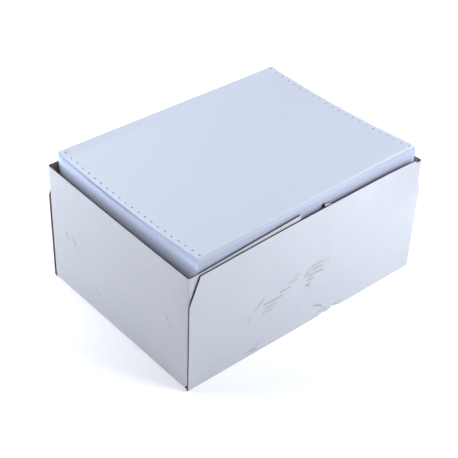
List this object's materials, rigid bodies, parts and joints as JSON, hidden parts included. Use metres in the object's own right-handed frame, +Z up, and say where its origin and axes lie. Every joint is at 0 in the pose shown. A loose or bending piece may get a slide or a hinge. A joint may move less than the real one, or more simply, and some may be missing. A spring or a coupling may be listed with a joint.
{
  "type": "computer paper",
  "caption": "Pack of fan-folded continuous computer paper with feed holes down both edges, standing in its open corrugated feed box.",
  "frame": {"origin": "centre of the box's underside", "axes": "+Z up; +X along the box's long walls, which is the direction of a printed line; the pictured long wall faces -Y"},
  "size_m": [0.399, 0.292, 0.2027],
  "materials": {
    "paper_stack": "matt uncoated paper, cool white",
    "carton_tray": "white-lined corrugated board outside, plain brown board inside"
  },
  "bodies": {
    "root": {"paper_stack": "paper_stack", "carton_tray": "carton_tray"}
  },
  "joints": []
}
